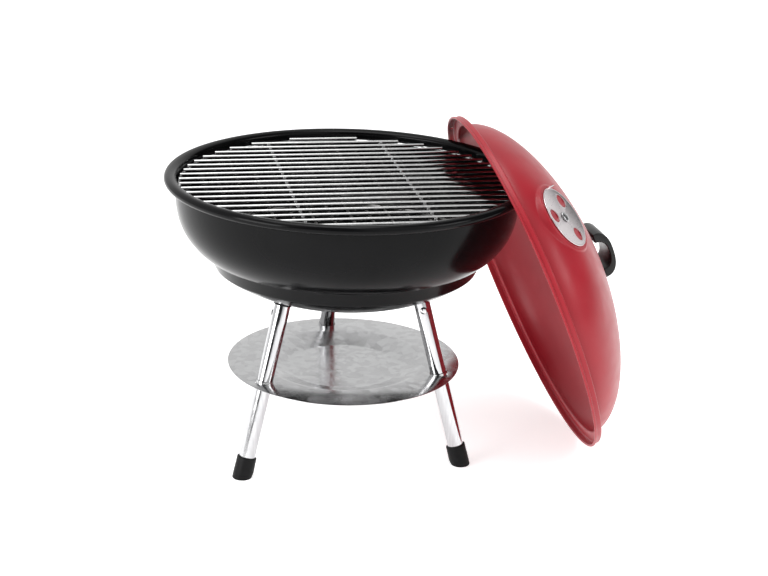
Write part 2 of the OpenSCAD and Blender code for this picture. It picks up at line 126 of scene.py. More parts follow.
floor_reach = 9.0
floor_mesh = bpy.data.meshes.new("floor")
floor_mesh.from_pydata(
    [(-floor_reach, -floor_reach, 0), (floor_reach, -floor_reach, 0),
     (floor_reach, floor_reach, 0), (-floor_reach, floor_reach, 0)], [], [(0, 1, 2, 3)])
floor = bpy.data.objects.new("floor", floor_mesh)
bpy.context.scene.collection.objects.link(floor)
floor_paint = bpy.data.materials.new("floor_paint")
floor_paint.use_nodes = True
floor_shader = floor_paint.node_tree.nodes["Principled BSDF"]
floor_shader.inputs["Base Color"].default_value = (0.9, 0.9, 0.9, 1)
floor_shader.inputs["Roughness"].default_value = 0.9
floor_shader.inputs["Specular IOR Level"].default_value = 0.0
floor_shader.inputs["Emission Color"].default_value = (1, 1, 1, 1)
floor_shader.inputs["Emission Strength"].default_value = 0.6
floor_mesh.materials.append(floor_paint)

# ---------------------------------------------------------------- bowl
# The firebowl is deep-drawn sheet steel with a rolled rim, glazed in black enamel. Its side curves
# in to a ledge that carries the coal grate, a steep band drops from there to the dish, and three air
# holes go through the dish's flat middle.
bowl_low, bowl_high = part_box("bowl")
bowl_x = (bowl_low.x + bowl_high.x) / 2
rim_top = bowl_high.z
bowl_floor = bowl_low.z
rim_radius = (bowl_high.x - bowl_low.x) / 2
rim_width = 0.010
rim_height = 0.009
bowl_sheet = 0.0012
wall_radius = rim_radius - rim_width - 0.0007
wall_start = rim_height + 0.001
ledge_depth = 0.078
crease_height = 0.001
ledge_radius = wall_radius - 0.028
dish_radius = ledge_radius - 0.004
band_height = 0.014
band_radius = dish_radius - 0.0058
dish_depth = rim_top - bowl_floor - ledge_depth - band_height
flat_radius = 0.050
air_hole_radius = 0.009
air_hole_pitch = 0.024
air_hole_turn = 60
air_hole_drill = 0.02
ROUND = 256


def arc(centre, radii, start, end, steps):
    """Points along an ellipse's arc, as (radius, height); angles in degrees."""
    points = []
    for i in range(steps + 1):
        angle = math.radians(start + (end - start) * i / steps)
        points.append((centre[0] + radii[0] * math.cos(angle), centre[1] + radii[1] * math.sin(angle)))
    return points


def eased(before, corner, after, reach, steps=4):
    """Points that take a pressed, rounded way past a corner between two neighbours."""
    corner, before, after = Vector(corner), Vector(before), Vector(after)
    first = corner + (before - corner).normalized() * min(reach, (before - corner).length * 0.49)
    last = corner + (after - corner).normalized() * min(reach, (after - corner).length * 0.49)
    points = []
    for i in range(steps + 1):
        t = i / steps
        points.append(tuple(first * (1 - t) ** 2 + corner * 2 * t * (1 - t) + last * t ** 2))
    return points


def turned(outline, place, segments):
    """A closed mesh of revolution about Z from (radius, height) points, moved by the matrix place."""
    shape = bmesh.new()
    rings = []
    for radius, height in outline:
        if radius < 1e-7:
            rings.append([shape.verts.new((0, 0, height))])
            continue
        ring = []
        for k in range(segments):
            angle = 2 * math.pi * k / segments
            ring.append(shape.verts.new((radius * math.cos(angle), radius * math.sin(angle), height)))
        rings.append(ring)
    for lower, upper in zip(rings, rings[1:] + rings[:1]):
        for k in range(segments):
            nxt = (k + 1) % segments
            if len(lower) == 1 and len(upper) == 1:
                break
            if len(lower) == 1:
                shape.faces.new((lower[0], upper[nxt], upper[k]))
            elif len(upper) == 1:
                shape.faces.new((lower[k], lower[nxt], upper[0]))
            else:
                shape.faces.new((lower[k], lower[nxt], upper[nxt], upper[k]))
    bmesh.ops.recalc_face_normals(shape, faces=shape.faces)
    shape.transform(place)
    return shape


def as_piece(name, shape, finish, crease=35):
    """Turns a bmesh into an object with smooth faces, sharp only past the crease angle."""
    mesh = bpy.data.meshes.new(name)
    shape.to_mesh(mesh)
    shape.free()
    mesh.shade_smooth()
    mesh.set_sharp_from_angle(angle=math.radians(crease))
    mesh.materials.append(finish)
    piece = bpy.data.objects.new(name, mesh)
    bpy.context.scene.collection.objects.link(piece)
    return piece


def settle(piece, crease=35):
    """Makes an object's modifiers part of its mesh and removes them."""
    bpy.context.view_layer.update()
    seen = piece.evaluated_get(bpy.context.evaluated_depsgraph_get())
    mesh = bpy.data.meshes.new_from_object(seen)
    mesh.name = piece.name
    piece.modifiers.clear()
    piece.data = mesh
    mesh.shade_smooth()
    mesh.set_sharp_from_angle(angle=math.radians(crease))


def drilled(piece, drills, crease=35):
    """Cuts the holes of a list of (matrix, radius, length) drills through a piece."""
    bits = bmesh.new()
    for place, radius, length in drills:
        bmesh.ops.create_cone(bits, cap_ends=True, segments=64, radius1=radius, radius2=radius,
                              depth=length, matrix=place)
    mesh = bpy.data.meshes.new("drill")
    bits.to_mesh(mesh)
    bits.free()
    drill = bpy.data.objects.new("drill", mesh)
    bpy.context.scene.collection.objects.link(drill)
    cut = piece.modifiers.new("holes", "BOOLEAN")
    cut.operation = "DIFFERENCE"
    cut.solver = "EXACT"
    cut.object = drill
    settle(piece, crease)
    bpy.data.objects.remove(drill)


def air_hole_places(frame_at_holes, first_turn, pitch):
    """Matrices of three holes evenly round a centre."""
    return [frame_at_holes @ Matrix.Rotation(math.radians(first_turn + 120 * i), 4, "Z")
            @ Matrix.Translation((pitch, 0, 0)) for i in range(3)]


def start_finish(name, colour, metallic, roughness):
    """A new material with its shader's plain sockets set; returns it with its nodes and links."""
    finish = bpy.data.materials.new(name)
    finish.use_nodes = True
    shader = finish.node_tree.nodes["Principled BSDF"]
    shader.inputs["Base Color"].default_value = (*colour, 1)
    shader.inputs["Metallic"].default_value = metallic
    shader.inputs["Roughness"].default_value = roughness
    return finish, finish.node_tree.nodes, finish.node_tree.links, shader


def noise_on(nodes, links, scale, detail, stretch=(1, 1, 1)):
    """A noise in the object's own metres, stretched along its axes."""
    where = nodes.new("ShaderNodeTexCoord")
    fit = nodes.new("ShaderNodeMapping")
    fit.inputs["Scale"].default_value = stretch
    noise = nodes.new("ShaderNodeTexNoise")
    noise.inputs["Scale"].default_value = scale
    noise.inputs["Detail"].default_value = detail
    links.new(where.outputs["Object"], fit.inputs["Vector"])
    links.new(fit.outputs["Vector"], noise.inputs["Vector"])
    return noise


def spread(nodes, links, source, low, high, target):
    """Maps a noise's middle range to low..high and feeds a shader socket."""
    span = nodes.new("ShaderNodeMapRange")
    span.inputs["From Min"].default_value = 0.3
    span.inputs["From Max"].default_value = 0.7
    span.inputs["To Min"].default_value = low
    span.inputs["To Max"].default_value = high
    links.new(source, span.inputs["Value"])
    links.new(span.outputs["Result"], target)


def two_tone(nodes, links, source, first, second, target):
    """Blends two colours by a noise and feeds a shader socket."""
    blend = nodes.new("ShaderNodeValToRGB")
    blend.color_ramp.elements[0].position = 0.35
    blend.color_ramp.elements[0].color = (*first, 1)
    blend.color_ramp.elements[1].position = 0.65
    blend.color_ramp.elements[1].color = (*second, 1)
    links.new(source, blend.inputs["Fac"])
    links.new(blend.outputs["Color"], target)


def grain(nodes, links, source, height, shader):
    """A fine relief of the given height in metres."""
    bump = nodes.new("ShaderNodeBump")
    bump.inputs["Strength"].default_value = 1.0
    bump.inputs["Distance"].default_value = height
    links.new(source, bump.inputs["Height"])
    links.new(bump.outputs["Normal"], shader.inputs["Normal"])


def make_enamel(name, deep, light, low_gloss, high_gloss, shine):
    """Fired enamel: faint clouds of colour, orange-peel flow and a gloss that varies a little."""
    finish, nodes, links, shader = start_finish(name, deep, 0.0, high_gloss)
    shader.inputs["Specular IOR Level"].default_value = shine
    clouds = noise_on(nodes, links, 14, 3)
    two_tone(nodes, links, clouds.outputs["Fac"], deep, light, shader.inputs["Base Color"])
    wear = noise_on(nodes, links, 60, 4)
    spread(nodes, links, wear.outputs["Fac"], low_gloss, high_gloss, shader.inputs["Roughness"])
    peel = noise_on(nodes, links, 420, 2)
    grain(nodes, links, peel.outputs["Fac"], 0.000012, shader)
    return finish


def bowl_side(depth):
    """Radius of the bowl's outside at a depth below the rim's top, above the ledge."""
    reach = (ledge_depth - crease_height - wall_start) / (
        1 - (ledge_radius / wall_radius) ** 2) ** (1 / 3)
    return wall_radius * math.sqrt(1 - (max(0.0, depth - wall_start) / reach) ** 3)


def bowl_face(inset):
    """One face of the bowl's sheet from the axis up to the rim; inset 0 is the outside."""
    run = band_radius - flat_radius
    dish_arc = (run ** 2 + dish_depth ** 2) / (2 * dish_depth)
    dish_end = math.degrees(math.asin(run / dish_arc))
    points = [(0, bowl_floor + inset)]
    points += arc((flat_radius, bowl_floor + dish_arc), (dish_arc - inset,) * 2, -90, -90 + dish_end, 40)
    band_foot = (band_radius - inset, rim_top - ledge_depth - band_height + inset)
    shelf = (dish_radius - inset, rim_top - ledge_depth + inset)
    lip = (ledge_radius - inset, rim_top - ledge_depth + crease_height + inset)
    side = []
    for i in range(61):
        depth = ledge_depth - crease_height + (wall_start - ledge_depth + crease_height) * i / 60
        side.append((bowl_side(depth) - inset, rim_top - depth + inset * (1 - i / 60)))
    points = points[:-1] + eased(points[-2], band_foot, shelf, 0.0015)
    points += eased(band_foot, shelf, lip, 0.0012) + eased(shelf, lip, side[3], 0.0015)
    return points + side[3:]


roll_centre = (rim_radius - rim_width / 2, rim_top - rim_height / 2)
roll_inside = roll_centre[0] - wall_radius + bowl_sheet
bowl_outline = bowl_face(0)
bowl_outline += arc(roll_centre, (rim_width / 2, rim_height / 2), -130, 90, 22)
bowl_outline += arc(roll_centre, (roll_inside, rim_height / 2), 90, 180, 12)[1:]
bowl_outline += bowl_face(bowl_sheet)[::-1]

black_enamel = make_enamel("black_enamel", (0.002, 0.002, 0.0022), (0.004, 0.004, 0.0043), 0.13, 0.2, 0.1)
bowl_place = Matrix.Translation((bowl_x, 0, 0))
bowl = as_piece("enamelled_bowl", turned(bowl_outline, bowl_place, ROUND), black_enamel)
at_bowl_floor = Matrix.Translation((bowl_x, 0, bowl_floor))
drilled(bowl, [(place, air_hole_radius, air_hole_drill)
               for place in air_hole_places(at_bowl_floor, air_hole_turn, air_hole_pitch)])
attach(bowl, "bowl")
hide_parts("bowl")

# ---------------------------------------------------------------- bowl damper
# A zinc-plated disc under the bowl with the same three holes, held by one rivet, and a folded tab
# that a finger pushes.


def make_bare_steel(name, deep, light, low_gloss, high_gloss):
    """Bare or zinc-plated steel with fine rolling marks."""
    finish, nodes, links, shader = start_finish(name, light, 1.0, high_gloss)
    marks = noise_on(nodes, links, 90, 4, (1, 1, 6))
    two_tone(nodes, links, marks.outputs["Fac"], deep, light, shader.inputs["Base Color"])
    spread(nodes, links, marks.outputs["Fac"], low_gloss, high_gloss, shader.inputs["Roughness"])
    fine = noise_on(nodes, links, 1500, 2)
    grain(nodes, links, fine.outputs["Fac"], 0.000003, shader)
    return finish


zinc = make_bare_steel("zinc_steel", (0.42, 0.42, 0.43), (0.62, 0.62, 0.62), 0.25, 0.4)
for node in ("bowl_damper", "bowl_damper_rivet"):
    frame["nodes"][node].data.materials.clear()
    frame["nodes"][node].data.materials.append(zinc)

# ---------------------------------------------------------------- legs
# Three chromed steel tubes that lean outwards. Each slips over the spigot of a black socket welded
# under the bowl, and a small cross-head screw holds it.
leg_radius = 0.008
leg_wall = 0.0012
leg_splay = math.radians(15.8)
foot_sole = 0.004
screw_turn = math.radians(-68)
leg_foot = Vector(frame["record"]["mounts"][0]["pos_m"])
leg_turn = math.atan2(leg_foot.y, leg_foot.x - bowl_x)
leg_reach = math.hypot(leg_foot.x - bowl_x, leg_foot.y)
along_leg = (Matrix.Rotation(leg_turn, 4, "Z") @ Matrix.Translation((leg_reach, 0, 0))
             @ Matrix.Rotation(-leg_splay, 4, "Y"))
leg_length = (bowl_floor - 0.0015) / math.cos(leg_splay)


def make_chrome(name, shade):
    """Polished chrome plate with hairline drawing marks along the tube and a few dull spots."""
    finish, nodes, links, shader = start_finish(name, shade, 1.0, 0.08)
    hairs = noise_on(nodes, links, 500, 3, (1, 1, 0.02))
    deep = tuple(channel * 0.86 for channel in shade)
    two_tone(nodes, links, hairs.outputs["Fac"], deep, shade, shader.inputs["Base Color"])
    spots = noise_on(nodes, links, 120, 3)
    spread(nodes, links, spots.outputs["Fac"], 0.05, 0.14, shader.inputs["Roughness"])
    grain(nodes, links, hairs.outputs["Fac"], 0.000006, shader)
    return finish


def make_copies_tree():
    """Copies of one part set evenly round the bowl's axis, realised into a single mesh."""
    tree = bpy.data.node_groups.new("copies_round_the_bowl", "GeometryNodeTree")
    for socket, kind in (("Part", "NodeSocketObject"), ("Copies", "NodeSocketInt"),
                         ("Bowl axis", "NodeSocketVector"), ("Finish", "NodeSocketMaterial")):
        tree.interface.new_socket(socket, in_out="INPUT", socket_type=kind)
    tree.interface.new_socket("Mesh", in_out="OUTPUT", socket_type="NodeSocketGeometry")
    add, link = tree.nodes.new, tree.links.new
    inputs = add("NodeGroupInput")
    part = add("GeometryNodeObjectInfo")
    spots = add("GeometryNodePoints")
    step = add("ShaderNodeMath")
    step.operation = "DIVIDE"
    step.inputs[0].default_value = 2 * math.pi
    turn = add("ShaderNodeMath")
    turn.operation = "MULTIPLY"
    index = add("GeometryNodeInputIndex")
    spin = add("ShaderNodeCombineXYZ")
    copies = add("GeometryNodeInstanceOnPoints")
    real = add("GeometryNodeRealizeInstances")
    finish = add("GeometryNodeSetMaterial")
    outputs = add("NodeGroupOutput")
    link(inputs.outputs["Part"], part.inputs["Object"])
    link(inputs.outputs["Copies"], spots.inputs["Count"])
    link(inputs.outputs["Bowl axis"], spots.inputs["Position"])
    link(inputs.outputs["Copies"], step.inputs[1])
    link(index.outputs["Index"], turn.inputs[0])
    link(step.outputs["Value"], turn.inputs[1])
    link(turn.outputs["Value"], spin.inputs["Z"])
    link(spots.outputs["Points"], copies.inputs["Points"])
    link(part.outputs["Geometry"], copies.inputs["Instance"])
    link(spin.outputs["Vector"], copies.inputs["Rotation"])
    link(copies.outputs["Instances"], real.inputs["Geometry"])
    link(real.outputs["Geometry"], finish.inputs["Geometry"])
    link(inputs.outputs["Finish"], finish.inputs["Material"])
    link(finish.outputs["Geometry"], outputs.inputs["Mesh"])
    return tree


def grown(name, tree, values, crease=35):
    """A plain mesh object made by a node tree with the given named inputs."""
    mesh = bpy.data.meshes.new(name)
    piece = bpy.data.objects.new(name, mesh)
    bpy.context.scene.collection.objects.link(piece)
    maker = piece.modifiers.new("maker", "NODES")
    maker.node_group = tree
    sockets = {item.name: item.identifier for item in tree.interface.items_tree
               if item.item_type == "SOCKET" and item.in_out == "INPUT"}
    for socket, value in values.items():
        maker[sockets[socket]] = value
    settle(piece, crease)
    return piece


def three_of(name, part, finish, crease=35):
    """One piece that holds three copies of a part round the bowl; the part itself goes."""
    piece = grown(name, copies_tree, {"Part": part, "Copies": 3, "Bowl axis": (bowl_x, 0, 0),
                                      "Finish": finish}, crease)
    bpy.data.objects.remove(part)
    return piece


copies_tree = make_copies_tree()
chrome = make_chrome("chrome_tube", (0.60, 0.60, 0.61))
tube_outline = [(leg_radius - leg_wall, foot_sole), (leg_radius, foot_sole)]
tube_outline += [(leg_radius, foot_sole + (leg_length - foot_sole) * i / 8) for i in range(1, 8)]
tube_outline += eased((leg_radius, 0.1), (leg_radius, leg_length), (0, leg_length), 0.0004)
tube_outline += [(leg_radius - leg_wall, leg_length)]
legs = three_of("leg_tubes", as_piece("tube", turned(tube_outline, along_leg, 64), chrome), chrome)
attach(legs, "bowl")
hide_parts("leg_1", "leg_2", "leg_3")

# The sockets are flared steel cups under the same black enamel as the bowl.
for number in (1, 2, 3):
    socket = frame["nodes"][f"leg_socket_{number}"]
    socket.data.materials.clear()
    socket.data.materials.append(black_enamel)

# The screws have round heads with a cross recess.
screw_drop = 0.010
screw_head_radius = 0.0036
screw_head_height = 0.002
recess_arm = 0.0019
recess_slot = 0.00045


def make_screw(name, place, finish):
    """A round-headed screw whose head stands on z = 0 of the matrix place, with a cross recess."""
    outline = [(0, -0.002), (0.002, -0.002), (0.002, 0), (screw_head_radius, 0)]
    outline += arc((0, 0), (screw_head_radius, screw_head_height), 4, 90, 12)[:-1]
    outline += [(0, screw_head_height)]
    screw = as_piece(name, turned(outline, place, 32), finish)
    arms = bmesh.new()
    for reach in ((recess_arm, recess_slot), (recess_slot, recess_arm)):
        scale = Matrix.Diagonal((2 * reach[0], 2 * reach[1], screw_head_height, 1))
        bmesh.ops.create_cube(arms, size=1, matrix=place
                              @ Matrix.Translation((0, 0, 1.3 * screw_head_height)) @ scale)
    mesh = bpy.data.meshes.new("recess")
    arms.to_mesh(mesh)
    arms.free()
    recess = bpy.data.objects.new("recess", mesh)
    bpy.context.scene.collection.objects.link(recess)
    cut = screw.modifiers.new("recess", "BOOLEAN")
    cut.operation = "DIFFERENCE"
    cut.solver = "EXACT"
    cut.use_self = True
    cut.object = recess
    settle(screw)
    bpy.data.objects.remove(recess)
    return screw


bright = make_chrome("bright_screws", (0.72, 0.72, 0.73))
screw_place = (along_leg @ Matrix.Translation((0, 0, leg_length - screw_drop))
               @ Matrix.Rotation(screw_turn, 4, "Z") @ Matrix.Rotation(math.pi / 2, 4, "Y")
               @ Matrix.Translation((0, 0, leg_radius)))
leg_screws = three_of("leg_cross_screws", make_screw("screw", screw_place, bright), bright)
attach(leg_screws, "bowl")
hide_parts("leg_screws")

# ---------------------------------------------------------------- feet
# Black moulded rubber caps pushed over the tube ends, with rounded edges and a slight taper.
foot_radius = 0.0099
foot_height = 0.021


def make_rubber(name):
    """Matt moulded rubber, a little dusty where it stands."""
    finish, nodes, links, shader = start_finish(name, (0.005, 0.005, 0.005), 0.0, 0.5)
    shader.inputs["Specular IOR Level"].default_value = 0.15
    dust = noise_on(nodes, links, 70, 4)
    two_tone(nodes, links, dust.outputs["Fac"], (0.003, 0.003, 0.0033), (0.008, 0.008, 0.0085),
             shader.inputs["Base Color"])
    spread(nodes, links, dust.outputs["Fac"], 0.38, 0.6, shader.inputs["Roughness"])
    fine = noise_on(nodes, links, 1800, 3)
    grain(nodes, links, fine.outputs["Fac"], 0.00005, shader)
    return finish


rubber = make_rubber("foot_rubber")
foot_outline = [(0, -foot_sole)]
foot_outline += arc((foot_radius - 0.0026, -foot_sole + 0.0026), (0.0026, 0.0026), -90, 0, 8)
foot_outline += [(foot_radius, foot_height * 0.3), (foot_radius - 0.0002, foot_height * 0.7)]
foot_outline += arc((foot_radius - 0.001, foot_height - 0.001), (0.0008, 0.001), 0, 90, 6)
foot_outline += [(leg_radius + 0.00005, foot_height), (leg_radius + 0.00005, foot_sole), (0, foot_sole)]
foot_shape = turned(foot_outline, along_leg, 64)
for vertex in foot_shape.verts:
    vertex.co.z = max(vertex.co.z, 0.0)
feet = three_of("rubber_feet", as_piece("foot", foot_shape, rubber, 50), rubber, 50)
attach(feet, "bowl")
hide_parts("foot_1", "foot_2", "foot_3")

# ---------------------------------------------------------------- ash plate
# A shallow pressed pan of galvanised sheet with a wide flange. The legs pass through three holes
# with turned-up collars, and their spread holds it at its height.
plate_z = 0.094
plate_sheet = 0.0008
plate_drill = 0.03
leg_hole_reach = leg_reach - plate_z * math.tan(leg_splay)
plate_radius = leg_hole_reach + 0.0162
well_radius = leg_hole_reach - 0.020
well_floor_radius = well_radius - 0.025
well_depth = 0.008


def make_galvanised(name):
    """Zinc spangle: flat crystals of differing grey and gloss."""
    finish, nodes, links, shader = start_finish(name, (0.6, 0.61, 0.62), 1.0, 0.25)
    where = nodes.new("ShaderNodeTexCoord")
    crystals = nodes.new("ShaderNodeTexVoronoi")
    crystals.inputs["Scale"].default_value = 150
    crystals.inputs["Randomness"].default_value = 1.0
    tone = nodes.new("ShaderNodeSeparateColor")
    links.new(where.outputs["Object"], crystals.inputs["Vector"])
    links.new(crystals.outputs["Color"], tone.inputs["Color"])
    two_tone(nodes, links, tone.outputs["Red"], (0.50, 0.50, 0.505), (0.56, 0.563, 0.567),
             shader.inputs["Base Color"])
    spread(nodes, links, tone.outputs["Green"], 0.17, 0.25, shader.inputs["Roughness"])
    fine = noise_on(nodes, links, 160, 3)
    grain(nodes, links, fine.outputs["Fac"], 0.000012, shader)
    return finish


galvanised = make_galvanised("galvanised_sheet")
top = [(0, -well_depth), (well_floor_radius, -well_depth), (well_radius, 0), (plate_radius, 0)]
plate_outline = [top[0]]
plate_outline += eased(top[0], top[1], top[2], 0.0018)
plate_outline += eased(top[1], top[2], top[3], 0.0018)
plate_outline += arc((plate_radius - plate_sheet / 2, -plate_sheet / 2), (plate_sheet / 2,) * 2, 90, -90, 6)
underside = [(radius + 0.0003, height - plate_sheet) for radius, height in top]
plate_outline += eased(top[3], underside[2], underside[1], 0.0018)
plate_outline += eased(underside[2], underside[1], underside[0], 0.0018)
plate_outline += [(0, -well_depth - plate_sheet)]
plate_place = Matrix.Translation((bowl_x, 0, plate_z))
plate = as_piece("ash_pan", turned(plate_outline, plate_place, ROUND), galvanised)
leg_axes = [Matrix.Translation((bowl_x, 0, 0)) @ Matrix.Rotation(2 * math.pi * i / 3, 4, "Z") @ along_leg
            for i in range(3)]
drilled(plate, [(axis @ Matrix.Translation((0, 0, plate_z / math.cos(leg_splay))),
                 leg_radius + 0.0006, plate_drill) for axis in leg_axes])
collar_outline = [(leg_radius + 0.00005, -0.0008), (leg_radius + 0.0009, -0.0008),
                  (leg_radius + 0.0009, 0.0012)]
collar_outline += arc((leg_radius + 0.00047, 0.0012), (0.00042, 0.0005), 0, 180, 6)
collar_place = along_leg @ Matrix.Translation((0, 0, plate_z / math.cos(leg_splay)))
collars = three_of("collar_ring", as_piece("collar", turned(collar_outline, collar_place, 64), galvanised),
                   galvanised)
bpy.context.view_layer.update()
joined = bmesh.new()
joined.from_mesh(plate.data)
joined.from_mesh(collars.data)
joined.to_mesh(plate.data)
joined.free()
plate.data.shade_smooth()
plate.data.set_sharp_from_angle(angle=math.radians(35))
bpy.data.objects.remove(collars)
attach(plate, "bowl")
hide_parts("ash_plate")

# ---------------------------------------------------------------- grates
# The cooking grate is chromed wire: a ring, two cross wires and parallel rods resistance-welded on
# top. The coal grate below is the same in plain steel, lying on the ledge.
grate_low, grate_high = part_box("cooking_grate_ring")
coal_low, coal_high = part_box("coal_grate_ring")
wire_radius = 0.002
rod_radius = 0.0015
weld = 0.0003
brace_place = 0.367
uneven_ends = 0.0006
cooking_rods = 21
cooking_pitch = 0.016
cooking_turn = math.radians(-1)
coal_rods = 13
coal_pitch = 0.020
coal_turn = math.radians(90)


def make_ring_tree():
    """A wire bent into a closed ring."""
    tree = bpy.data.node_groups.new("wire_ring", "GeometryNodeTree")
    for socket, kind in (("Ring radius", "NodeSocketFloat"), ("Wire radius", "NodeSocketFloat"),
                         ("Centre", "NodeSocketVector"), ("Finish", "NodeSocketMaterial")):
        tree.interface.new_socket(socket, in_out="INPUT", socket_type=kind)
    tree.interface.new_socket("Mesh", in_out="OUTPUT", socket_type="NodeSocketGeometry")
    add, link = tree.nodes.new, tree.links.new
    inputs = add("NodeGroupInput")
    path = add("GeometryNodeCurvePrimitiveCircle")
    path.inputs["Resolution"].default_value = 192
    section = add("GeometryNodeCurvePrimitiveCircle")
    section.inputs["Resolution"].default_value = 20
    wire = add("GeometryNodeCurveToMesh")
    place = add("GeometryNodeTransform")
    real = add("GeometryNodeRealizeInstances")
    finish = add("GeometryNodeSetMaterial")
    outputs = add("NodeGroupOutput")
    link(inputs.outputs["Ring radius"], path.inputs["Radius"])
    link(inputs.outputs["Wire radius"], section.inputs["Radius"])
    link(path.outputs["Curve"], wire.inputs["Curve"])
    link(section.outputs["Curve"], wire.inputs["Profile Curve"])
    link(wire.outputs["Mesh"], place.inputs["Geometry"])
    link(inputs.outputs["Centre"], place.inputs["Translation"])
    link(place.outputs["Geometry"], real.inputs["Geometry"])
    link(real.outputs["Geometry"], finish.inputs["Geometry"])
    link(inputs.outputs["Finish"], finish.inputs["Material"])
    link(finish.outputs["Geometry"], outputs.inputs["Mesh"])
    return tree


def make_rods_tree():
    """Parallel wires across a ring, each cut to its chord, a little uneven at the ends."""
    tree = bpy.data.node_groups.new("parallel_wires", "GeometryNodeTree")
    for socket, kind in (("Rods", "NodeSocketInt"), ("Pitch", "NodeSocketFloat"),
                         ("Ring radius", "NodeSocketFloat"), ("Wire radius", "NodeSocketFloat"),
                         ("Uneven", "NodeSocketFloat"), ("Turn", "NodeSocketFloat"),
                         ("Centre", "NodeSocketVector"), ("Seed", "NodeSocketInt"),
                         ("Finish", "NodeSocketMaterial")):
        tree.interface.new_socket(socket, in_out="INPUT", socket_type=kind)
    tree.interface.new_socket("Mesh", in_out="OUTPUT", socket_type="NodeSocketGeometry")
    add, link = tree.nodes.new, tree.links.new

    def maths(operation, first, second=None):
        node = add("ShaderNodeMath")
        node.operation = operation
        for slot, value in zip(node.inputs, (first, second)):
            if value is None:
                continue
            if isinstance(value, (int, float)):
                slot.default_value = value
            else:
                link(value, slot)
        return node.outputs["Value"]

    inputs = add("NodeGroupInput")
    index = add("GeometryNodeInputIndex").outputs["Index"]
    middle = maths("DIVIDE", maths("SUBTRACT", inputs.outputs["Rods"], 1.0), 2.0)
    across = maths("MULTIPLY", maths("SUBTRACT", index, middle), inputs.outputs["Pitch"])
    ring = inputs.outputs["Ring radius"]
    left_over = maths("SUBTRACT", maths("MULTIPLY", ring, ring), maths("MULTIPLY", across, across))
    chance = add("FunctionNodeRandomValue")
    link(maths("MULTIPLY", inputs.outputs["Uneven"], -1.0), chance.inputs[2])
    link(inputs.outputs["Uneven"], chance.inputs[3])
    link(inputs.outputs["Seed"], chance.inputs["Seed"])
    half = maths("ADD", maths("SQRT", maths("MAXIMUM", left_over, 0.0)), chance.outputs[1])
    spot = add("ShaderNodeCombineXYZ")
    link(across, spot.inputs["Y"])
    spots = add("GeometryNodePoints")
    link(inputs.outputs["Rods"], spots.inputs["Count"])
    link(spot.outputs["Vector"], spots.inputs["Position"])
    line = add("GeometryNodeCurvePrimitiveLine")
    line.inputs["Start"].default_value = (-1, 0, 0)
    line.inputs["End"].default_value = (1, 0, 0)
    section = add("GeometryNodeCurvePrimitiveCircle")
    section.inputs["Resolution"].default_value = 16
    link(inputs.outputs["Wire radius"], section.inputs["Radius"])
    wire = add("GeometryNodeCurveToMesh")
    wire.inputs["Fill Caps"].default_value = True
    link(line.outputs["Curve"], wire.inputs["Curve"])
    link(section.outputs["Curve"], wire.inputs["Profile Curve"])
    size = add("ShaderNodeCombineXYZ")
    size.inputs["Y"].default_value = 1.0
    size.inputs["Z"].default_value = 1.0
    link(half, size.inputs["X"])
    copies = add("GeometryNodeInstanceOnPoints")
    link(spots.outputs["Points"], copies.inputs["Points"])
    link(wire.outputs["Mesh"], copies.inputs["Instance"])
    link(size.outputs["Vector"], copies.inputs["Scale"])
    real = add("GeometryNodeRealizeInstances")
    link(copies.outputs["Instances"], real.inputs["Geometry"])
    spin = add("ShaderNodeCombineXYZ")
    link(inputs.outputs["Turn"], spin.inputs["Z"])
    place = add("GeometryNodeTransform")
    link(real.outputs["Geometry"], place.inputs["Geometry"])
    link(spin.outputs["Vector"], place.inputs["Rotation"])
    link(inputs.outputs["Centre"], place.inputs["Translation"])
    finish = add("GeometryNodeSetMaterial")
    link(place.outputs["Geometry"], finish.inputs["Geometry"])
    link(inputs.outputs["Finish"], finish.inputs["Material"])
    outputs = add("NodeGroupOutput")
    link(finish.outputs["Geometry"], outputs.inputs["Mesh"])
    return tree


ring_tree = make_ring_tree()
rods_tree = make_rods_tree()
chrome_wire = make_chrome("chrome_wire", (0.66, 0.66, 0.66))
coal_wire = make_bare_steel("plain_steel_wire", (0.16, 0.155, 0.15), (0.34, 0.335, 0.33), 0.35, 0.55)


def make_grate(prefix, low, high, body, finish, rods, pitch, turn):
    """The ring, cross wires and rods of one grate, which replace its three CAD nodes."""
    ring_radius = (high.x - low.x) / 2 - wire_radius
    ring_z = (low.z + high.z) / 2
    centre = (bowl_x, 0, ring_z)
    rod_centre = (bowl_x, 0, ring_z + wire_radius + rod_radius - weld)
    ring = grown(prefix + "_wire_ring", ring_tree, {
        "Ring radius": ring_radius, "Wire radius": wire_radius, "Centre": centre, "Finish": finish})
    cross = grown(prefix + "_braces", rods_tree, {
        "Rods": 2, "Pitch": 2 * brace_place * ring_radius, "Ring radius": ring_radius,
        "Wire radius": wire_radius, "Uneven": 0.0, "Turn": turn + math.pi / 2, "Centre": centre,
        "Seed": 1, "Finish": finish})
    bars = grown(prefix + "_bars", rods_tree, {
        "Rods": rods, "Pitch": pitch, "Ring radius": ring_radius, "Wire radius": rod_radius,
        "Uneven": uneven_ends, "Turn": turn, "Centre": rod_centre, "Seed": 7, "Finish": finish})
    for piece, node in ((ring, "_ring"), (cross, "_cross_wires"), (bars, "_rods")):
        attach(piece, body)
        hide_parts(prefix + node)


make_grate("cooking_grate", grate_low, grate_high, "cooking_grate", chrome_wire,
           cooking_rods, cooking_pitch, cooking_turn)
make_grate("coal_grate", coal_low, coal_high, "coal_grate", coal_wire,
           coal_rods, coal_pitch, coal_turn)

# Three bent tabs inside the bowl carry the cooking grate; they are enamelled with it.
frame["nodes"]["grate_rests"].data.materials.clear()
frame["nodes"]["grate_rests"].data.materials.append(black_enamel)

